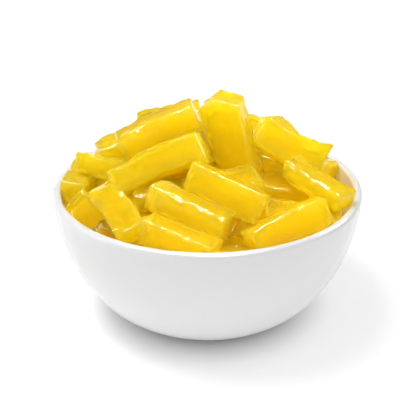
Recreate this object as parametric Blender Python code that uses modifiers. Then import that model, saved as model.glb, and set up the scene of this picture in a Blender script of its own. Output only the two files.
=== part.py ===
"""A small glazed bowl heaped with cut strips of yellow coconut jelly.

Metres, +Z up. The origin is the middle of the bowl's foot, on the surface it stands on.
Sizes below are in millimetres and are turned into metres where the meshes are made.
"""

import math
import random
from collections import namedtuple

import bmesh
import bpy
from mathutils import Matrix, Vector

MM = 0.001

# The bowl
RIM_RADIUS = 57.5
BOWL_HEIGHT = 50.2
LIP_RADIUS = 1.5
FLOOR_THICKNESS = 4.0
FOOT_RADIUS = 25.0
FOOT_WIDTH = 3.0
FOOT_RECESS = 1.2
BELLY_START = 43.4  # how far out the wall first runs, level with the table
BELLY_RISE = 24.5  # how high the wall has turned upright
BELLY_LEAN = 0.4  # how far that point is inside the rim
FLAT_FLOOR = 20.0  # radius of the level floor inside
TURNED_STEPS = 64

# The heap
GAP = 0.35  # between jelly and glaze
CORE_TOP = 60.0
CORE_EDGE = 40.0
CORE_STEPS = (0.0, 0.3, 0.55, 0.8)  # shares of the quarter turn from the core's edge to its top
EDGE_ROUND = 2.0
BEND_CUTS = (-0.25, 0, 0.25)  # shares of a strip's length where it can bend
STRIP_SIZE = (28, 12, 9)

Strip = namedtuple("Strip", "place turn rise roll size sag sway")


def strip(place, turn, rise, roll, size=STRIP_SIZE, sag=0, sway=0):
    """A strip's middle, its heading, slope and twist in degrees, its length, width
    and thickness, and how far its middle bows out of line, up and to one side."""
    return Strip(place, turn, rise, roll, size, sag, sway)


FRONT_STRIPS = (
    strip((9.5, 2, 63.9), 180, 74, -110, (38, 16, 9.5)),  # stands on end at the top
    strip((-18, 2, 69.3), 8, 23, -2, (31, 12, 11), 1),
    strip((-17.3, -12, 61), 2, 24, 60, (36, 11, 9), -1, 2),
    strip((6.3, -28, 58), -25, -17, 70, (28, 11, 9)),
    strip((-6, -34, 54), -27, -14, -10, (29, 10, 10)),
    strip((-9, -44, 47.8), -27, -10, -8, (26, 10, 10)),
    strip((-30, -30, 51), -60, -12, 24, (27, 11, 8), 0, 1),
    strip((-39.5, -22, 41), -50, -15, 20),
    strip((-36, 2, 54.2), -25, 0, -20, (27, 11, 9)),
    strip((-48, 5, 48), 85, 0, 5, (26, 10, 10)),
    strip((-30.5, 17.5, 59), 25, 14, 4, (27, 12, 9)),
    strip((-15, 25, 65.3), 5, 10, 10, (26, 12, 9)),
    strip((12, 21, 63.5), -18, -8, 20, (24, 12, 9), 1),
    strip((30.5, 2, 62.5), -5, -25, 58, STRIP_SIZE, 0, -2.5),
    strip((29.5, 20, 60.5), 100, 0, 0, (26, 10, 10)),
    strip((38.5, -13, 55.5), -45, -13, 14, (27, 9.5, 8.5), 0, -1),
    strip((26.5, -36.5, 49), 27, 13, -22, (30, 10, 11), 1),
    strip((45, -8, 37), 80, 0, 0, (26, 10, 10)),
    strip((22.5, 11, 49), -20, -20, 40),
    strip((31, -2, 47), -10, -5, 12),
    strip((31.5, -21, 44), 5, -5, 20, (26, 11, 9)),
    strip((-24.5, -16, 44), -70, 0, 0, (26, 12, 9)),
    strip((-47.5, -12, 36.5), 105, 0, 15, (24, 10, 9)),
    strip((15, -30, 40.5), 75, 4, 15, (24, 12, 9)),
    strip((8, -41, 40.5), 85, -12, 8, (20, 10, 9)),
    strip((45, 14, 39), 100, 0, 10, (26, 10, 9)),
    strip((40, 22, 48), 130, 0, 10, (26, 11, 9)),
    strip((5, -14, 52), 25, 5, 15),
    strip((15, -11, 46), -50, 5, 0, (26, 12, 9)),
    strip((-14, -13, 51), 12, 0, 5),
    strip((-1, 10, 57), 75, 0, 0, (24, 11, 9)),
    strip((-15, 6, 59.5), 8, 15, 0, (26, 12, 9)),
    strip((-30, 9, 46), 35, 5, 10, (26, 12, 9)),
    strip((-10, 23, 59), 10, 0, 0),
)


def ring_of_strips(draw, radius, height, first, last, count, lean):
    """Strips lying round the heap, each leaning in or out of the ring in turn."""
    found = []
    for index in range(count):
        bearing = first + (last - first) * index / (count - 1)
        out = math.radians(bearing)
        swing = lean if index % 2 else -lean
        place = (
            radius * math.cos(out),
            radius * math.sin(out),
            height + draw.uniform(-1.5, 1.5),
        )
        turn = bearing + 90 + swing + draw.uniform(-10, 10)
        rise = draw.uniform(-10, 10)
        roll = draw.uniform(-25, 25)
        size = (draw.uniform(26, 32), draw.uniform(11, 13.5), draw.uniform(8, 10))
        sag = draw.uniform(-1.5, 1.5)
        found.append(strip(place, turn, rise, roll, size, sag, draw.uniform(-1, 1)))
    return found


def back_strips():
    draw = random.Random(11)
    return ring_of_strips(draw, 43, 43, 40, 145, 4, 25) + ring_of_strips(
        draw, 31, 54, 65, 135, 3, 35
    )


def clear_scene():
    for obj in list(bpy.data.objects):
        bpy.data.objects.remove(obj, do_unlink=True)


def new_collection(name):
    collection = bpy.data.collections.new(name)
    bpy.context.scene.collection.children.link(collection)
    return collection


def material(name, colour, roughness):
    made = bpy.data.materials.new(name)
    made.use_nodes = True
    shader = made.node_tree.nodes["Principled BSDF"]
    shader.inputs["Base Color"].default_value = (*colour, 1)
    shader.inputs["Roughness"].default_value = roughness
    shader.inputs["Metallic"].default_value = 0
    return made


def outer_wall(count):
    """The wall's outer side from its foot to the lip, a curve that leaves the foot
    level and reaches the rim upright."""
    start = Vector((FOOT_RADIUS, 0))
    low = Vector((BELLY_START, 0))
    high = Vector((RIM_RADIUS - BELLY_LEAN, BELLY_RISE))
    end = Vector((RIM_RADIUS, BOWL_HEIGHT - LIP_RADIUS))
    points = []
    for index in range(count + 1):
        t = index / count
        s = 1 - t
        points.append(s**3 * start + 3 * s * s * t * low + 3 * s * t * t * high + t**3 * end)
    return points


def inner_wall(count, clearance=0.0):
    """The wall's inner side from its foot to the lip: the outer side moved in by the
    wall's thickness, which grows towards the floor."""
    outer = outer_wall(count * 2)
    points = []
    for index in range(2, len(outer)):
        before = outer[index - 1]
        here = outer[index]
        after = outer[min(index + 1, len(outer) - 1)]
        along = (after - before).normalized()
        inward = Vector((-along.y, along.x))
        share = here.y / (BOWL_HEIGHT - LIP_RADIUS)
        wall = FLOOR_THICKNESS + (2 * LIP_RADIUS - FLOOR_THICKNESS) * share
        if index % 2 == 0:
            points.append(here + inward * (wall + clearance))
    return [p for p in points if p.y > FLOOR_THICKNESS + clearance]


def lip(count, clearance=0.0):
    """The rounded lip, from the inner side over to the outer one."""
    centre = Vector((RIM_RADIUS - LIP_RADIUS, BOWL_HEIGHT - LIP_RADIUS))
    points = []
    for index in range(1, count):
        angle = math.pi * (1 - index / count)
        arm = Vector((math.cos(angle), math.sin(angle)))
        points.append(centre + arm * (LIP_RADIUS + clearance))
    return points


def turned(name, profile, collection, surface=None):
    """A closed solid of revolution from a profile that ends on the axis."""
    mesh = bpy.data.meshes.new(name)
    points = [(p[0] * MM, 0, p[1] * MM) for p in profile]
    edges = [(index, index + 1) for index in range(len(points) - 1)]
    mesh.from_pydata(points, edges, [])
    obj = bpy.data.objects.new(name, mesh)
    collection.objects.link(obj)
    screw = obj.modifiers.new("Turn", "SCREW")
    screw.angle = math.tau
    screw.steps = TURNED_STEPS
    screw.render_steps = TURNED_STEPS
    screw.use_merge_vertices = True
    screw.merge_threshold = 1e-5
    screw.use_smooth_shade = True
    if surface:
        mesh.materials.append(surface)
    return obj


def bowl(collection):
    inside = [(0, FLOOR_THICKNESS), (FLAT_FLOOR, FLOOR_THICKNESS)]
    inside += inner_wall(8)
    outside = list(reversed(outer_wall(10)))
    foot_inside = FOOT_RADIUS - FOOT_WIDTH
    foot = [
        (foot_inside, 0),
        (foot_inside - FOOT_RECESS / 2, FOOT_RECESS),
        (0, FOOT_RECESS),
    ]
    glaze = material("white glaze", (0.86, 0.86, 0.85), 0.15)
    return turned("bowl", inside + lip(6) + outside + foot, collection, glaze)


def heap_core(collection):
    """The packed middle of the heap: it follows the bowl below and is a low dome above."""
    floor = FLOOR_THICKNESS + GAP
    side = [p for p in inner_wall(8, GAP) if p.y < CORE_EDGE]
    reach = side[-1].x
    dome = []
    for share in CORE_STEPS:
        angle = share * math.pi / 2
        height = CORE_EDGE + (CORE_TOP - CORE_EDGE) * math.sin(angle)
        dome.append((reach * math.cos(angle), height))
    profile = [(0, CORE_TOP)] + list(reversed(dome)) + list(reversed(side))
    profile += [(FLAT_FLOOR, floor), (0, floor)]
    return turned("jelly_heap", profile, collection)


def wall_cutter(collection):
    """All that the jelly must keep clear of: the bowl grown by the gap, and what is
    outside it up to the lip."""
    beyond = RIM_RADIUS + 20
    below = -5
    floor = FLOOR_THICKNESS + GAP
    top = BOWL_HEIGHT + GAP
    inside = [(0, floor), (FLAT_FLOOR, floor)] + inner_wall(8, GAP)
    crest = [p for p in lip(6, GAP) if p.x < RIM_RADIUS - LIP_RADIUS]
    profile = inside + crest + [(RIM_RADIUS - LIP_RADIUS, top), (beyond, top)]
    profile += [(beyond, below), (0, below)]
    return turned("wall cutter", profile, collection)


def strip_piece(name, shape, collection):
    """One strip: a bar with rounded edges, bowed along its length and put in place."""
    length, width, thickness = shape.size
    bm = bmesh.new()
    bmesh.ops.create_cube(bm, size=1)
    bmesh.ops.scale(bm, vec=Vector(shape.size), verts=bm.verts)
    bmesh.ops.bevel(bm, geom=list(bm.edges), offset=EDGE_ROUND, segments=1, affect="EDGES")
    for share in BEND_CUTS:
        bmesh.ops.bisect_plane(
            bm,
            geom=bm.verts[:] + bm.edges[:] + bm.faces[:],
            plane_co=(share * length, 0, 0),
            plane_no=(1, 0, 0),
        )
    for vert in bm.verts:
        lift = 0.5 - (2 * vert.co.x / length) ** 2
        vert.co.z += shape.sag * lift
        vert.co.y += shape.sway * lift
    turns = Matrix.Rotation(math.radians(shape.turn), 4, "Z")
    turns @= Matrix.Rotation(math.radians(-shape.rise), 4, "Y")
    turns @= Matrix.Rotation(math.radians(shape.roll), 4, "X")
    placed = Matrix.Scale(MM, 4) @ Matrix.Translation(Vector(shape.place)) @ turns
    bmesh.ops.transform(bm, matrix=placed, verts=bm.verts)
    mesh = bpy.data.meshes.new(name)
    bm.to_mesh(mesh)
    bm.free()
    obj = bpy.data.objects.new(name, mesh)
    obj.hide_render = True
    obj.display_type = "WIRE"
    collection.objects.link(obj)
    return obj


def jelly_heap(collection, helpers, strips):
    heap = heap_core(collection)
    jelly = material("yellow jelly", (0.9, 0.58, 0.01), 0.2)
    heap.data.materials.append(jelly)
    for index, shape in enumerate(list(FRONT_STRIPS) + back_strips()):
        strip_piece(f"strip {index + 1}", shape, strips)
    join = heap.modifiers.new("Strips", "BOOLEAN")
    join.operation = "UNION"
    join.solver = "EXACT"
    join.operand_type = "COLLECTION"
    join.collection = strips
    cutter = wall_cutter(helpers)
    cutter.hide_render = True
    cutter.display_type = "WIRE"
    clear = heap.modifiers.new("Clear of the bowl", "BOOLEAN")
    clear.operation = "DIFFERENCE"
    clear.solver = "EXACT"
    clear.object = cutter
    return heap


def main():
    clear_scene()
    part = new_collection("coconut jelly")
    helpers = new_collection("helpers")
    strips = new_collection("strips")
    bowl(part)
    jelly_heap(part, helpers, strips)


main()
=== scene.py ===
import math
import random

import bmesh
import bpy
import numpy as np
from mathutils import Matrix, Vector, noise


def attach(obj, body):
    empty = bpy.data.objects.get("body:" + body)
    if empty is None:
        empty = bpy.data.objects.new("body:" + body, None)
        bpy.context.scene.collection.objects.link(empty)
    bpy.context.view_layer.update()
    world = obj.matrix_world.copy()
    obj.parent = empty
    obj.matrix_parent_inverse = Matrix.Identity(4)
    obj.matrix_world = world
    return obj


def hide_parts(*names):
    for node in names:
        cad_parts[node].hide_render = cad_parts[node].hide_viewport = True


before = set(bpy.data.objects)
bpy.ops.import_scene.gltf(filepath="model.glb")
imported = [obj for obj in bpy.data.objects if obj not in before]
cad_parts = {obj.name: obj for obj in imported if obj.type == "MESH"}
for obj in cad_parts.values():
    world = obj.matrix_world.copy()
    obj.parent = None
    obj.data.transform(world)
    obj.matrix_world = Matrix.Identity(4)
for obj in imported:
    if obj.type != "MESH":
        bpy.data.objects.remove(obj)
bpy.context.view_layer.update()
print("frame loaded:", ", ".join(sorted(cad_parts)))

mm = 0.001
scene = bpy.context.scene
scene.cycles.max_bounces = 40
scene.cycles.transmission_bounces = 32
scene.cycles.diffuse_bounces = 16
scene.cycles.glossy_bounces = 8
scene.cycles.volume_bounces = 16


# Shader maths

class Val:  # one socket, so that shader maths reads as plain sums
    def __init__(self, shader, socket):
        self.shader = shader
        self.socket = socket

    def calc(self, operation, first, second):
        values = {0: first, 1: second}
        return self.shader.add("ShaderNodeMath", {"operation": operation}, values).out()

    def __add__(self, other):
        return self.calc("ADD", self, other)

    def __radd__(self, other):
        return self.calc("ADD", other, self)

    def __mul__(self, other):
        return self.calc("MULTIPLY", self, other)

    def __rmul__(self, other):
        return self.calc("MULTIPLY", other, self)


class Node:
    def __init__(self, shader, node):
        self.shader = shader
        self.node = node

    def out(self, name=0):
        return Val(self.shader, self.node.outputs[name])


class Shader:
    def __init__(self, name):
        self.material = bpy.data.materials.new(name)
        self.material.use_nodes = True
        self.tree = self.material.node_tree
        self.tree.nodes.clear()

    def add(self, kind, settings=None, values=None):
        node = self.tree.nodes.new(kind)
        for name, value in (settings or {}).items():
            setattr(node, name, value)
        for name, value in (values or {}).items():
            socket = node.inputs[name]
            if isinstance(value, Val):
                self.tree.links.new(value.socket, socket)
            else:
                socket.default_value = value
        return Node(self, node)

    def mix(self, factor, first, second):
        return self.add(
            "ShaderNodeMix",
            {"data_type": "RGBA"},
            {0: factor, 6: first, 7: second},
        ).out(2)

    def noise(self, place, scale, detail=3, rough=0.5):
        values = {"Vector": place, "Scale": scale, "Detail": detail, "Roughness": rough}
        return self.add("ShaderNodeTexNoise", {}, values).out("Fac")

    def band(self, value, low, high):  # 0 below low, 1 above high, smooth between
        settings = {"interpolation_type": "SMOOTHSTEP"}
        values = {"Value": value, "From Min": low, "From Max": high}
        return self.add("ShaderNodeMapRange", settings, values).out()

    def finish(self, surface, inside=None):
        values = {"Surface": surface}
        if inside:
            values["Volume"] = inside
        self.add("ShaderNodeOutputMaterial", {}, values)
        return self.material


# Camera

cameraView = {
    "elevation": 25.85,  # degrees above level
    "distance": 280 * mm,
    "target": (0.19 * mm, 0, 38.54 * mm),
    "lens": 63.05,
    "sensor": 36,
}


def makeCamera(view):
    data = bpy.data.cameras.new("camera")
    data.lens = view["lens"]
    data.sensor_width = view["sensor"]
    data.clip_start = 0.01
    data.clip_end = 50
    camera = bpy.data.objects.new("camera", data)
    scene.collection.objects.link(camera)
    tilt = math.radians(view["elevation"])
    away = Vector((0, -math.cos(tilt), math.sin(tilt))) * view["distance"]
    camera.location = Vector(view["target"]) + away
    camera.rotation_euler = (math.radians(90) - tilt, 0, 0)
    scene.camera = camera


makeCamera(cameraView)
print("camera set")


# Bowl

bowlSpec = {
    "rimRadius": 57.5,  # millimetres, as all the sizes here
    "height": 50.2,
    "lipRadius": 1.5,
    "floor": 4.0,
    "footRadius": 25.0,
    "footWidth": 3.0,
    "footRecess": 1.2,
    "footRound": 0.7,
    "footEase": 0.3,  # the small slope where the foot meets the recess
    "topLean": 0.4,  # how far the wall still opens just below the lip
    "bellyStart": 43.4,
    "bellyRise": 24.5,
    "wallSteps": 44,
    "lipSteps": 12,
    "footSteps": 4,
    "turnSteps": 160,
    "radiusSteps": 40,  # points along the inner wall when something is kept inside it
    "handMade": 0.08,  # how far the wall strays from a true circle
    "strayPace": 22,  # how quickly that changes from place to place
    "strayFrom": 12,  # the height from which it strays in full
}


def outerWall(count):
    spec = bowlSpec
    start = Vector((spec["footRadius"], 0))
    low = Vector((spec["bellyStart"], 0))
    high = Vector((spec["rimRadius"] - spec["topLean"], spec["bellyRise"]))
    end = Vector((spec["rimRadius"], spec["height"] - spec["lipRadius"]))
    points = []
    for index in range(count + 1):
        t = index / count
        s = 1 - t
        points.append(s**3 * start + 3 * s * s * t * low + 3 * s * t * t * high + t**3 * end)
    return points


def innerWall(count):
    spec = bowlSpec
    outer = outerWall(count)
    top = spec["height"] - spec["lipRadius"]
    points = []
    for index in range(1, len(outer)):
        after = outer[min(index + 1, count)]
        along = (after - outer[index - 1]).normalized()
        thickness = spec["floor"] + (2 * spec["lipRadius"] - spec["floor"]) * outer[index].y / top
        points.append(outer[index] + Vector((-along.y, along.x)) * thickness)
    return [p for p in points if p.y > spec["floor"]]


def lipArc(count):
    spec = bowlSpec
    centre = Vector((spec["rimRadius"] - spec["lipRadius"], spec["height"] - spec["lipRadius"]))
    angles = [math.pi * (1 - index / count) for index in range(1, count)]
    return [centre + Vector((math.cos(a), math.sin(a))) * spec["lipRadius"] for a in angles]


def footArc(count):
    spec = bowlSpec
    inside = spec["footRadius"] - spec["footWidth"]
    points = [Vector((inside + spec["footRound"], 0))]
    for index in range(1, count + 1):
        a = math.pi / 2 * index / count
        arm = Vector((-math.sin(a), 1 - math.cos(a))) * spec["footRound"]
        points.append(Vector((inside + spec["footRound"], 0)) + arm)
    points.append(Vector((inside, spec["footRecess"] - spec["footEase"])))
    points.append(Vector((inside - spec["footEase"], spec["footRecess"])))
    points.append(Vector((inside * 0.5, spec["footRecess"])))
    points.append(Vector((0, spec["footRecess"])))
    return points


def turn(name, profile, steps):
    mesh = bpy.data.meshes.new(name)
    places = [(p[0] * mm, 0, p[1] * mm) for p in profile]
    mesh.from_pydata(places, [(i, i + 1) for i in range(len(places) - 1)], [])
    piece = bpy.data.objects.new(name, mesh)
    scene.collection.objects.link(piece)
    screw = piece.modifiers.new("turn", "SCREW")
    screw.angle = math.tau
    screw.steps = steps
    screw.render_steps = steps
    screw.use_merge_vertices = True
    screw.merge_threshold = 1e-5
    screw.use_smooth_shade = True
    turned = piece.evaluated_get(bpy.context.evaluated_depsgraph_get())
    shown = bpy.data.meshes.new_from_object(turned)
    piece.modifiers.clear()
    piece.data = shown
    return piece


def glazeMaterial():
    s = Shader("white glaze")
    place = s.add("ShaderNodeTexCoord").out("Object")
    cloud = s.noise(place, 26, 3)
    ripple = s.noise(place, 60, 2)
    speck = s.band(s.noise(place, 900, 1), 0.7, 0.76)
    tone = s.mix(cloud * 0.5, (0.79, 0.79, 0.79, 1), (0.76, 0.76, 0.755, 1))
    bump = s.add("ShaderNodeBump", {}, {"Strength": 0.12, "Distance": 0.0006, "Height": ripple})
    surface = s.add(
        "ShaderNodeBsdfPrincipled",
        {},
        {
            "Base Color": s.mix(speck * 0.04, tone, (0.62, 0.6, 0.56, 1)),
            "Roughness": 0.16 + cloud * 0.1,
            "IOR": 1.5,
            "Normal": bump.out(),
        },
    )
    return s.finish(surface.out())


def makeBowl(spec):
    inside = [Vector((spec["footRadius"] * part, spec["floor"])) for part in (0, 0.4, 0.8)]
    inside += innerWall(spec["wallSteps"])
    outside = list(reversed(outerWall(spec["wallSteps"])))
    profile = inside + lipArc(spec["lipSteps"]) + outside + footArc(spec["footSteps"])
    bowl = turn("bowl_glazed", profile, spec["turnSteps"])
    for vert in bowl.data.vertices:
        stray = noise.noise(vert.co * spec["strayPace"]) * spec["handMade"] * mm
        flat = Vector((vert.co.x, vert.co.y, 0))
        share = min(1, max(0, vert.co.z / (spec["strayFrom"] * mm)))
        vert.co -= flat.normalized() * abs(stray) * share
    bowl.data.materials.append(glazeMaterial())
    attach(bowl, "root")
    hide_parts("bowl")


makeBowl(bowlSpec)
print("bowl made")


# Jelly strips

stripSpec = {
    "cuts": (23, 11, 9),  # grid lines across length, width and thickness
    "edge": 1.5,  # how far the cut edges are rounded
    "edgeSteps": 3,  # grid steps in each rounded edge
    "dent": 0.28,  # how deep the faces are dented
    "dentPace": 0.13,  # how quickly the dents change along a strip, as the paces below
    "wobble": 0.27,  # the fine unevenness that catches the light
    "wobblePace": 0.42,
    "ripplePace": 0.9,
    "shrink": 0.12,  # how far the jelly has drawn in after cutting
    "hollow": 0.35,  # how far the faces sag in between their edges
    "chamfer": 2.6,  # how wide the long edges are worn away in places
    "wearPace": 0.21,
    "wearLeast": 0.6,  # share of the edge's rounding that is worn away everywhere
    "skew": 0.08,  # how far the end cuts run off square
    "taper": 0.04,  # how far a strip narrows from end to end
    "ridgeWidth": 1.6,  # how far the three marks for the jelly's look reach in from an edge
    "rimWidth": 2.2,
    "cutEndWidth": 1.0,
    "gap": 0.3,
    "wallGap": 0.3,
    "pressRounds": 2,
    "seed": 11,
}

# place in millimetres, turn, rise and roll in degrees, size, bow up and bow sideways,
# then for a few the peak at the upper end and how much rounder than usual the edges are
topStrips = (
    ((9.5, 2, 63.8), 180, 74, -110, (37, 16, 9.5), 0, 0, 2),  # stands on end at the top
    ((-18, 2, 69.3), 8, 23, -2, (31, 12, 11), 1, 0),
    ((-17.3, -12, 61), 2, 24, 52, (36, 11, 9), -1, 2),
    ((6.3, -28, 58), -25, -17, 70, (28, 11, 9), 0, 0),
    ((-6, -34, 54), -27, -14, -10, (29, 10, 10), 0, 0),
    ((-9, -44, 47.8), -27, -10, -8, (26, 10, 10), 0, 0),
    ((-30, -30, 51), -60, -12, 24, (27, 11, 8), 0, 1),
    ((-39.5, -22, 41), -50, -20, 38, (28, 12, 9), 0, 0),
    ((-36, 2, 54.2), -25, 0, -20, (27, 11, 9), 0, 0),
    ((-48.5, 5, 48.5), 85, 0, 5, (26, 10, 10), 0, 0),
    ((-30.5, 17.5, 59), 25, 14, 4, (27, 12, 9), 0, 0, 0, 1.5),
    ((-15, 25, 65.3), 5, 10, 10, (26, 12, 9), 0, 0, 0, 1.5),
    ((12, 21, 63.5), -18, -8, 20, (24, 12, 9), 1, 0, 0, 1.5),
    ((30.5, 2, 62.9), -5, -25, 58, (28, 12, 9), 0, -2),
    ((29.5, 20, 60.5), 100, 0, 0, (26, 10, 10), 0, 0, 0, 1.7),
    ((39, -13.5, 54.7), -45, -13, 0, (27, 9.5, 8.5), 0, -1),
    ((26.5, -36.5, 49), 27, 13, -22, (30, 10, 11), 1, 0),
)

gapStrips = (  # show only between the ones on top
    ((45, -8, 37), 80, 0, 0, (26, 10, 10), 0, 0),
    ((22.5, 11, 49), -20, -20, 40, (28, 12, 9), 0, 0),
    ((31, -2, 47), -10, -5, 12, (28, 12, 9), 0, 0),
    ((31.5, -21, 44), 5, -5, 20, (26, 11, 9), 0, 0),
    ((-24.5, -16, 44), -70, 0, 0, (26, 12, 9), 0, 0),
    ((-47.5, -12, 36.5), 105, 0, 15, (24, 10, 9), 0, 0),
    ((15, -30, 40.5), 75, 4, 15, (24, 12, 9), 0, 0),
    ((8, -41, 40.5), 85, -12, 8, (20, 10, 9), 0, 0),
    ((45, 14, 39), 100, 0, 10, (26, 10, 9), 0, 0),
    ((40, 22, 48), 130, 0, 10, (26, 11, 9), 0, 0),
    ((5, -14, 52), 25, 5, 15, (28, 12, 9), 0, 0),
    ((15, -11, 46), -50, 5, 0, (26, 12, 9), 0, 0),
    ((-14, -13, 51), 12, 0, 5, (28, 12, 9), 0, 0),
    ((-1, 10, 61.5), 75, 0, 0, (24, 11, 9), 0, 0),
    ((-15, 6, 59.5), 8, 15, 0, (26, 12, 9), 0, 0),
    ((-30, 9, 46), 35, 5, 10, (26, 12, 9), 0, 0),
)

buriedStrips = (
    ((-8, -20, 43), -20, 0, 10, (28, 12, 9), 0, 0),
    ((2, -4, 46), 60, 6, 10, (26, 12, 9), 0, 0),
    ((-4, 12, 53), -30, 0, 5, (28, 12, 9), 0, 0),
    ((-16, -5, 50), 80, -8, 5, (28, 12, 9), 0, 0),
    ((-14, 15, 46), 15, 5, 0, (28, 12, 9), 0, 0),
    ((18, 18, 46), 40, 0, 5, (28, 12, 9), 0, 0),
    ((20, -28, 38), 20, 0, 0, (28, 12, 9), 0, 0),
    ((-40, 14, 41), 60, 0, 0, (28, 12, 9), 0, 0),
)


ringSpec = {
    "rings": (  # radius, height, first and last bearing, count, and lean off the ring
        (43, 43, 40, 145, 4, 25),
        (31, 54, 65, 135, 3, 35),
        (45, 35, 15, 165, 6, 8),
        (44, 35, 200, 340, 6, 8),
        (47, 41, 75, 160, 3, 5),
        (34, 49, 80, 130, 2, 20),
    ),
    "height": 1.5,  # how far each strip may stray from its ring
    "turn": 10,
    "rise": 10,
    "roll": 25,
    "length": (26, 32),
    "width": (11, 13.5),
    "thickness": (8, 10),
    "bow": 1.5,
    "sway": 1,
}


def ringOfStrips(draw, radius, height, first, last, count, lean):
    def either(name):
        return draw.uniform(-ringSpec[name], ringSpec[name])

    found = []
    for index in range(count):
        bearing = first + (last - first) * index / (count - 1)
        out = math.radians(bearing)
        place = (radius * math.cos(out), radius * math.sin(out), height + either("height"))
        turned = bearing + 90 + (lean if index % 2 else -lean) + either("turn")
        rise = either("rise")
        roll = either("roll")
        size = tuple(draw.uniform(*ringSpec[side]) for side in ("length", "width", "thickness"))
        found.append((place, turned, rise, roll, size, either("bow"), either("sway")))
    return found


def ringStrips():
    draw = random.Random(stripSpec["seed"])
    return [row for ring in ringSpec["rings"] for row in ringOfStrips(draw, *ring)]


def stripGrid():
    bm = bmesh.new()
    bmesh.ops.create_cube(bm, size=2)
    for axis, cuts in enumerate(stripSpec["cuts"]):
        others = [i for i in range(3) if i != axis]
        along = [
            e for e in bm.edges
            if all(abs(e.verts[0].co[i] - e.verts[1].co[i]) < 1e-6 for i in others)
        ]
        bmesh.ops.subdivide_edges(bm, edges=along, cuts=cuts, use_grid_fill=True)
    bm.verts.ensure_lookup_table()
    points = np.array([v.co[:] for v in bm.verts])
    faces = np.array([[v.index for v in f.verts] for f in bm.faces])
    bm.free()
    return points, faces


def spread(values, half, edge, cuts):
    # packs a few grid steps into each rounded edge and spreads the rest evenly between
    steps = cuts + 1
    place = (values + 1) / 2 * steps
    bend = stripSpec["edgeSteps"]
    rim = edge / bend
    inner = (2 * half - 2 * edge) / (steps - 2 * bend)
    low = place * rim
    mid = edge + (place - bend) * inner
    high = 2 * half - (steps - place) * rim
    return np.where(place < bend, low, np.where(place > steps - bend, high, mid)) - half


def rotationOf(turned, rise, roll):
    turns = Matrix.Rotation(math.radians(turned), 3, "Z")
    turns @= Matrix.Rotation(math.radians(-rise), 3, "Y")
    turns @= Matrix.Rotation(math.radians(roll), 3, "X")
    return np.array(turns)


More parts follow.
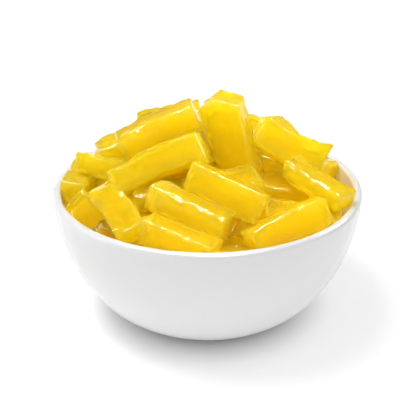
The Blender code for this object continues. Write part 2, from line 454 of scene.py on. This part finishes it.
class Strip:
    def __init__(self, row, yielding, draw):
        self.yielding = yielding  # how readily it gives way to its neighbours
        place, turned, rise, roll, size, self.bow, self.sway, *more = row
        self.peak = more[0] if more else 0  # how far the upper end is drawn to a point
        rounder = more[1] if len(more) > 1 else 1
        self.place = np.array(place, float)
        self.spin = rotationOf(turned, rise, roll)
        self.half = np.array(size) / 2
        self.edge = stripSpec["edge"] * draw.uniform(0.8, 1.15) * rounder
        self.skews = [draw.uniform(-1, 1) * stripSpec["skew"] for _ in range(4)]
        self.seat = Vector([draw.uniform(-90, 90) for _ in range(3)])  # its own place in the noise
        self.tone = draw.uniform(0, 1)
        self.taper = draw.uniform(-stripSpec["taper"], stripSpec["taper"])

    def bend(self, points, sign=1):  # lifts the middle and lowers the ends
        along = np.clip(points[:, 0] / self.half[0], -1.2, 1.2)
        lift = 0.5 - along**2
        points[:, 2] += sign * self.bow * lift
        points[:, 1] += sign * self.sway * lift
        return points

    def shape(self, grid):
        half = self.half
        cuts = stripSpec["cuts"]
        flat = np.stack([spread(grid[:, i], half[i], self.edge, cuts[i]) for i in range(3)], 1)
        core = np.clip(flat, self.edge - half, half - self.edge)
        arm = flat - core
        reach = np.linalg.norm(arm, axis=1, keepdims=True)
        normal = arm / np.maximum(reach, 1e-9)
        points = core + normal * self.edge
        self.wearEdges(points)
        side = half - np.abs(flat)
        inward = np.sort(side, axis=1)[:, 1]  # how far in from the nearest edge
        self.ridge = np.exp(-((inward / stripSpec["ridgeWidth"]) ** 2))
        self.rim = np.exp(-inward / stripSpec["rimWidth"])
        self.cutEnd = np.exp(-((side[:, 0] / stripSpec["cutEndWidth"]) ** 2))
        self.slantEnds(points)
        self.dentFaces(points, normal, inward)
        points = self.bend(points)
        self.points = points @ self.spin.T + self.place

    def wearEdges(self, points):
        # planes the four long edges off, more in some places than in others
        spec = stripSpec
        for index, p in enumerate(points):
            quarter = Vector((0, np.sign(p[1]), np.sign(p[2]))) * 5  # so that each edge differs
            spot = Vector((p[0] * spec["wearPace"], 0, 0)) + quarter + self.seat
            worn = self.edge * spec["wearLeast"] + max(0, noise.noise(spot) + 0.1) * spec["chamfer"]
            excess = abs(p[1]) + abs(p[2]) - (self.half[1] + self.half[2] - worn)
            if excess > 0:
                points[index, 1:] -= np.sign(p[1:]) * excess / 2

    def slantEnds(self, points):
        ease = np.clip(np.abs(points[:, 0]) / self.half[0], 0, 1) ** 4
        upper = points[:, 0] > 0
        slantY = np.where(upper, self.skews[0], self.skews[1])
        slantZ = np.where(upper, self.skews[2], self.skews[3])
        points[:, 0] += ease * (slantY * points[:, 1] + slantZ * points[:, 2])
        points[:, 0] += ease * upper * self.peak * (1 - 2 * np.abs(points[:, 1] / self.half[1]))
        points[:, 1:] *= 1 + self.taper * (points[:, :1] / self.half[0])

    def dentFaces(self, points, normal, inward):
        spec = stripSpec
        sag = np.clip((inward - 0.5 * self.edge) / self.half.min(), 0, 1) * spec["hollow"]
        for index, (p, n) in enumerate(zip(points, normal)):
            spot = Vector(p) + self.seat
            broad = noise.noise(spot * spec["dentPace"])
            fine = noise.noise(spot * spec["wobblePace"])
            ripple = noise.noise(spot * spec["ripplePace"])
            push = broad * spec["dent"] + fine * spec["wobble"] * (0.6 + 1.5 * self.rim[index])
            push += ripple * spec["wobble"] * (0.25 + 1.4 * self.ridge[index])
            points[index] += n * (push - spec["shrink"] - sag[index])

    def depth(self, world):
        # signed distance to this strip's bar, and the way out of it
        local = (world - self.place) @ self.spin
        local = self.bend(local, -1)
        past = np.abs(local) - (self.half - self.edge)
        outside = np.linalg.norm(np.maximum(past, 0), axis=1)
        inside = np.minimum(past.max(axis=1), 0)
        distance = outside + inside - self.edge
        way = np.maximum(past, 0)
        deep = outside < 1e-6
        way[deep] = np.eye(3)[past[deep].argmax(axis=1)]
        way *= np.where(local < 0, -1, 1)
        way /= np.maximum(np.linalg.norm(way, axis=1, keepdims=True), 1e-9)
        return distance, way @ self.spin.T


settleSpec = {
    "rounds": 40,
    "cage": (9, 5, 5),  # points along, across and through each strip that feel for others
    "cageInset": 0.5,  # how deep under the faces those points lie
    "ease": 0.5,  # share of an overlap that goes in each round
    "step": 1.2,  # the furthest that a strip moves in a round
    "follow": 3,  # with how readily it gives way, how much of a push a strip follows
    "sink": 0.05,  # how far the buried strips sink in each round
    "room": 53.5,  # radius that the buried strips stay within
}


def samplePoints(half):
    steps = [np.linspace(-1, 1, count) for count in settleSpec["cage"]]
    cage = np.array(np.meshgrid(*steps)).reshape(3, -1).T
    return cage[np.abs(cage).max(axis=1) > 0.999] * (half - settleSpec["cageInset"])


def settle(strips):
    # strips that share room are eased apart, the buried ones furthest
    spec = settleSpec
    cages = [s.bend(samplePoints(s.half)) @ s.spin.T for s in strips]
    for _ in range(spec["rounds"]):
        moves = [np.zeros(3) for _ in strips]
        for i, one in enumerate(strips):
            for j, other in enumerate(strips):
                reach = np.linalg.norm(one.half) + np.linalg.norm(other.half)
                if i == j or np.linalg.norm(one.place - other.place) > reach:
                    continue
                distance, way = other.depth(cages[i] + one.place)
                inside = np.clip(-distance, 0, None)
                if inside.max() <= 0:
                    continue
                push = (way * inside[:, None]).sum(axis=0) / inside.sum() * inside.max()
                share = one.yielding / (one.yielding + other.yielding)
                moves[i] += push * share * spec["ease"]
                moves[j] -= push * (1 - share) * spec["ease"]
        for s, move in zip(strips, moves):
            shorter = min(1, spec["step"] / max(np.linalg.norm(move), 1e-9))
            s.place += move * shorter * min(1, s.yielding * spec["follow"])
            s.place[2] -= spec["sink"] * s.yielding
            keepInRoom(s)


def keepInRoom(strip):
    # a buried strip that reaches too far out moves back towards the middle
    out = np.hypot(*strip.place[:2])
    toward = strip.place[:2] / max(out, 1e-6)
    across = np.array((-toward[1], toward[0]))
    deep = np.abs(toward @ strip.spin[:2]) @ strip.half
    wide = np.abs(across @ strip.spin[:2]) @ strip.half
    room = math.sqrt(settleSpec["room"] ** 2 - wide**2) - deep
    if strip.yielding == 1 and out > room:
        strip.place[:2] *= room / out


def pressTogether(strips):
    # where two strips share room, each gives way by half of it
    moves = [np.zeros_like(s.points) for s in strips]
    for i, one in enumerate(strips):
        for j, other in enumerate(strips):
            reach = np.linalg.norm(one.half) + np.linalg.norm(other.half)
            if i == j or np.linalg.norm(one.place - other.place) > reach:
                continue
            distance, way = other.depth(one.points)
            push = np.clip(stripSpec["gap"] - distance, 0, None) * 0.5
            moves[i] += way * push[:, None]
    for s, move in zip(strips, moves):
        s.points += move


def innerRadius(heights):  # of the bowl
    wall = sorted((p.y, p.x) for p in innerWall(bowlSpec["radiusSteps"]))
    return np.interp(heights, [w[0] for w in wall], [w[1] for w in wall])


def keepOffWall(strips):
    centre = bowlSpec["rimRadius"] - bowlSpec["lipRadius"]
    top = bowlSpec["height"] - bowlSpec["lipRadius"]
    for s in strips:
        radius = np.hypot(s.points[:, 0], s.points[:, 1])
        limit = innerRadius(s.points[:, 2]) - stripSpec["wallGap"]
        rise = np.clip(s.points[:, 2] - top, 0, None)
        arc = bowlSpec["lipRadius"] + stripSpec["wallGap"]
        limit = np.where(rise > 0, centre - np.sqrt(np.clip(arc**2 - rise**2, 0, None)), limit)
        limit = np.where(rise > arc, np.inf, limit)
        share = np.where(radius > limit, limit / np.maximum(radius, 1e-6), 1)
        s.points[:, 0] *= share
        s.points[:, 1] *= share


jellySpec = {
    "cloudiness": {"Color": (1, 1, 1, 1), "Density": 200, "Anisotropy": 0.2},
    "tint": {"Color": (0.993, 0.9745, 0.01, 1), "Density": 1000},
    "glow": {"Color": (1, 0.72, 0.005, 1), "Strength": 1.8},  # painted glow, standing in for light lost deep inside
    "amber": (1.0, 0.86, 0.3, 1),
    "cloudy": (1.0, 0.84, 0.25, 1),
    # pale and paleSkin also give the painted edge light along every edge
    "pale": (1.0, 0.93, 0.4, 1),
    "skin": (1.0, 0.84, 0.02, 1),
    "paleSkin": (1.0, 0.88, 0.12, 1),
    "skinShare": 0.02,  # how much of the milky skin shows on the faces
    "rimShare": 0.14,  # and how much more along the edges, as painted edge light
    "frostShare": 0.1,  # and where the cuts left them rough, and again along the edges as painted edge light
}


def jellyMaterial(spec):
    s = Shader("yellow jelly")
    place = s.add("ShaderNodeTexCoord").out("Object")
    ridge = s.add("ShaderNodeAttribute", {"attribute_name": "ridge"}).out("Fac")
    cutEnd = s.add("ShaderNodeAttribute", {"attribute_name": "cutEnd"}).out("Fac")
    rim = s.add("ShaderNodeAttribute", {"attribute_name": "rim"}).out("Fac")
    tone = s.add("ShaderNodeAttribute", {"attribute_name": "tone"}).out("Fac")
    cloud = s.noise(place, 90, 3)
    streak = s.noise(place, 260, 4, 0.6)
    body = s.mix(tone, spec["amber"], spec["pale"])
    body = s.mix(s.band(cloud, 0.35, 0.7) * 0.5, body, spec["cloudy"])
    # the faces turn paler along every edge, painted edge light for the light that shines through
    # the thin edges, and in frosted streaks along ridges and cut ends
    frostAndEdgeLight = rim * 0.5 + (ridge * 0.4 + cutEnd * 0.4) * s.band(streak, 0.35, 0.65)
    colour = s.mix(frostAndEdgeLight * 0.6, body, spec["pale"])

    ripple = s.noise(place, 340, 2) * (0.05 + ridge * 0.7) + s.noise(place, 800, 2) * ridge * 0.15
    bump = s.add("ShaderNodeBump", {}, {"Strength": 0.5, "Distance": 0.001, "Height": ripple})
    surface = s.add(
        "ShaderNodeBsdfPrincipled",
        {},
        {
            "Base Color": colour,
            "Roughness": 0.02 + cutEnd * 0.06 + s.band(streak, 0.55, 0.8) * 0.04,
            "IOR": 1.25,
            "Specular IOR Level": 1.0,
            "Transmission Weight": 1.0,
            "Normal": bump.out(),
        },
    )
    # the skin too is paler along the edges, painted edge light
    skin = s.add(
        "ShaderNodeBsdfPrincipled",
        {},
        {
            "Base Color": s.mix(frostAndEdgeLight, spec["skin"], spec["paleSkin"]),
            "Roughness": 0.04,
            "IOR": 1.38,
            "Specular IOR Level": 1.0,
            "Normal": bump.out(),
        },
    )
    share = spec["skinShare"] + rim * spec["rimShare"] + frostAndEdgeLight * spec["frostShare"]
    surface = s.add("ShaderNodeMixShader", {}, {0: share, 1: surface.out(), 2: skin.out()})
    scatter = s.add("ShaderNodeVolumeScatter", {}, spec["cloudiness"])
    absorb = s.add("ShaderNodeVolumeAbsorption", {}, spec["tint"])
    inside = s.add("ShaderNodeAddShader", {}, {0: scatter.out(), 1: absorb.out()})
    # painted glow: the jelly's inside gives off light of its own
    glow = s.add("ShaderNodeEmission", {}, spec["glow"])
    inside = s.add("ShaderNodeAddShader", {}, {0: inside.out(), 1: glow.out()})
    return s.finish(surface.out(), inside.out())


def coreMaterial():
    s = Shader("packed jelly")
    place = s.add("ShaderNodeTexCoord").out("Object")
    cloud = s.noise(place, 120, 3)
    surface = s.add(
        "ShaderNodeBsdfPrincipled",
        {},
        {
            "Base Color": s.mix(cloud, (0.95, 0.68, 0.015, 1), (0.85, 0.52, 0.01, 1)),
            "Roughness": 0.35,
            "IOR": 1.4,
            "Specular IOR Level": 0.1,
            # painted glow: the core gives off light of its own, lifting the shade in the gaps
            # between the strips
            "Emission Color": (1.0, 0.6, 0.01, 1),
            "Emission Strength": 0.14,
        },
    )
    return s.finish(surface.out())


def joinStrips(name, strips, faces, surface):
    points = np.concatenate([s.points for s in strips]) * mm
    count = len(strips[0].points)
    allFaces = np.concatenate([faces + index * count for index in range(len(strips))])
    mesh = bpy.data.meshes.new(name)
    mesh.from_pydata(points.tolist(), [], allFaces.tolist())
    mesh.shade_smooth()
    for label in ("ridge", "rim", "cutEnd", "tone"):
        values = [np.broadcast_to(getattr(s, label), count) for s in strips]
        layer = mesh.attributes.new(label, "FLOAT", "POINT")
        layer.data.foreach_set("value", np.concatenate(values).astype(np.float32))
    mesh.materials.append(surface)
    piece = bpy.data.objects.new(name, mesh)
    scene.collection.objects.link(piece)
    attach(piece, "root")
    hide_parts("jelly_heap")


def makeStrips():
    draw = random.Random(stripSpec["seed"] + 1)
    grid, faces = stripGrid()
    # the strips that show hardly give way to their neighbours, the buried ones fully
    groups = ((topStrips, 0.004), (gapStrips, 0.015), (buriedStrips, 1), (ringStrips(), 1))
    strips = [Strip(row, yielding, draw) for rows, yielding in groups for row in rows]
    settle(strips)
    for s in strips:
        s.shape(grid)
    for _ in range(stripSpec["pressRounds"]):
        pressTogether(strips)
    keepOffWall(strips)
    joinStrips("jelly_strips", strips, faces, jellyMaterial(jellySpec))
    print("strips made:", len(strips), "with", len(strips) * len(faces) * 2, "triangles")
    return strips


strips = makeStrips()


# Core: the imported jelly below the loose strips

coreSpec = {
    "top": 44,
    "edge": 31,  # height at which the side turns into the dome
    "gap": 0.35,
    "relief": 1.2,
    "reliefPace": 90,
    "sideSteps": 30,
    "domeSteps": 24,
    "turnSteps": 128,
    "shoulder": 4,  # how far below the edge the top may still give way
    "tuckRounds": 16,
    "tuck": 2,  # the furthest that it gives way in a round
    "clearance": 0.5,  # between the core and the loose strips
    "least": 1,  # what is left of it above the bowl's floor
}


def tuckUnder(mesh, strips):
    # the core's top gives way wherever a loose strip lies in it
    spec = coreSpec
    points = np.array([v.co[:] for v in mesh.vertices]) / mm
    top = points[:, 2] > spec["edge"] - spec["shoulder"]
    for _ in range(spec["tuckRounds"]):
        nearest = np.min([s.depth(points)[0] for s in strips], axis=0)
        lower = np.clip(spec["clearance"] - nearest, 0, spec["tuck"])
        points[:, 2] -= np.where(top, lower, 0)
        points[:, 2] = np.maximum(points[:, 2], bowlSpec["floor"] + spec["least"])
    radius = np.hypot(points[:, 0], points[:, 1])
    limit = innerRadius(points[:, 2]) - spec["gap"]
    points[:, :2] *= np.minimum(1, limit / np.maximum(radius, 1e-6))[:, None]
    for vert, point in zip(mesh.vertices, points):
        vert.co = Vector(point) * mm


def makeCore(spec, strips):
    floor = bowlSpec["floor"] + spec["gap"]
    side = [p - Vector((spec["gap"], 0)) for p in innerWall(spec["sideSteps"])]
    side = [p for p in side if floor < p.y < spec["edge"]]
    reach = side[-1].x
    dome = []
    for index in range(spec["domeSteps"]):
        a = math.pi / 2 * index / spec["domeSteps"]
        height = spec["edge"] + (spec["top"] - spec["edge"]) * math.sin(a)
        dome.append(Vector((reach * math.cos(a), height)))
    profile = [Vector((0, spec["top"]))] + list(reversed(dome)) + list(reversed(side))
    profile += [Vector((bowlSpec["footRadius"] * 0.8, floor)), Vector((0, floor))]
    core = turn("jelly_core", profile, spec["turnSteps"])
    for vert in core.data.vertices:
        if vert.co.z > spec["edge"] * mm:
            vert.co.z += noise.noise(vert.co * spec["reliefPace"]) * spec["relief"] * mm
    tuckUnder(core.data, strips)
    core.data.materials.append(coreMaterial())
    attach(core, "root")
    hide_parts("jelly_heap")


makeCore(coreSpec, strips)
print("core made")


# Floor, light and world

studio = {  # in metres
    "floorSize": 40.0,
    "floorDrop": 0.0002,  # keeps the floor just clear of the foot
    "floorTone": (0.6, 0.6, 0.6, 1),
    # painted light: the floor's glow lifts the shadows cast on it
    "floorGlow": (0.46, 0.46, 0.46, 1),
    "glowFrom": 0.027,  # distance from the middle where the floor's painted glow starts; nearer in, painted shade is left around the foot
    "glowFull": 0.052,
    "skyLevel": 0.53,  # light from the side
    "skyTop": 0.4,  # how much more comes from above
    "lightsAim": (0, 0, 0.05),
    "lights": (  # name, place, size, power, and whether it only makes highlights
        ("overhead box", (-0.34, 0.02, 0.92), (0.4, 0.4), 5.0, False),
        ("overhead shine", (0, 0, 0.95), (0.5, 0.42), 30, True),
        ("window left", (-0.85, -0.1, 0.45), (0.05, 0.15), 0.8, True),
        ("window right", (0.7, 0.35, 0.6), (0.12, 0.3), 5.0, True),
        ("strip front", (0.1, -0.5, 0.85), (0.3, 0.1), 13, True),
        ("pale backdrop", (0, 1.2, 0.4), (3.0, 1.4), 2.5, True),
    ),
}


def makeFloor(spec):
    mesh = bpy.data.meshes.new("floor")
    half = spec["floorSize"] / 2
    corners = [(-half, -half, 0), (half, -half, 0), (half, half, 0), (-half, half, 0)]
    mesh.from_pydata(corners, [], [(0, 1, 2, 3)])
    floor = bpy.data.objects.new("floor", mesh)
    scene.collection.objects.link(floor)
    floor.location.z = -spec["floorDrop"]
    s = Shader("pale floor")
    place = s.add("ShaderNodeTexCoord").out("Object")
    away = s.add("ShaderNodeVectorMath", {"operation": "LENGTH"}, {0: place}).out("Value")
    # painted light that lifts the floor's shadows, left out near the bowl as painted shade around
    # the foot
    share = s.band(away, spec["glowFrom"], spec["glowFull"])
    glow = s.mix(share, (0, 0, 0, 1), spec["floorGlow"])
    values = {
        "Base Color": spec["floorTone"],
        "Roughness": 0.6,
        "Specular IOR Level": 0,
        "Emission Color": glow,
        "Emission Strength": 1,
    }
    surface = s.add("ShaderNodeBsdfPrincipled", {}, values)
    mesh.materials.append(s.finish(surface.out()))


def aim(obj, origin, target):
    obj.location = origin
    obj.rotation_euler = (Vector(target) - Vector(origin)).to_track_quat("-Z", "Y").to_euler()


def areaLight(name, origin, size, power, onlyShine):
    data = bpy.data.lights.new(name, "AREA")
    data.shape = "RECTANGLE"
    data.size, data.size_y = size
    data.energy = power
    light = bpy.data.objects.new(name, data)
    light.visible_diffuse = not onlyShine
    light.visible_transmission = not onlyShine
    light.visible_volume_scatter = not onlyShine
    light.visible_camera = False
    scene.collection.objects.link(light)
    aim(light, origin, studio["lightsAim"])


def makeSky(spec):  # white, brighter the higher up
    world = bpy.data.worlds.new("studio")
    world.use_nodes = True
    nodes = world.node_tree.nodes
    links = world.node_tree.links
    toward = nodes.new("ShaderNodeTexCoord")
    split = nodes.new("ShaderNodeSeparateXYZ")
    square = nodes.new("ShaderNodeMath")
    square.operation = "POWER"
    square.inputs[1].default_value = 2
    level = nodes.new("ShaderNodeMath")
    level.operation = "MULTIPLY_ADD"
    level.inputs[1].default_value = spec["skyTop"]
    level.inputs[2].default_value = spec["skyLevel"]
    links.new(toward.outputs["Generated"], split.inputs[0])
    links.new(split.outputs["Z"], square.inputs[0])
    links.new(square.outputs[0], level.inputs[0])
    links.new(level.outputs[0], nodes["Background"].inputs["Strength"])
    nodes["Background"].inputs["Color"].default_value = (1, 1, 1, 1)
    world.cycles_visibility.glossy = False
    scene.world = world


makeFloor(studio)
for light in studio["lights"]:
    areaLight(*light)
makeSky(studio)
scene.view_settings.view_transform = "Standard"
print("studio set")
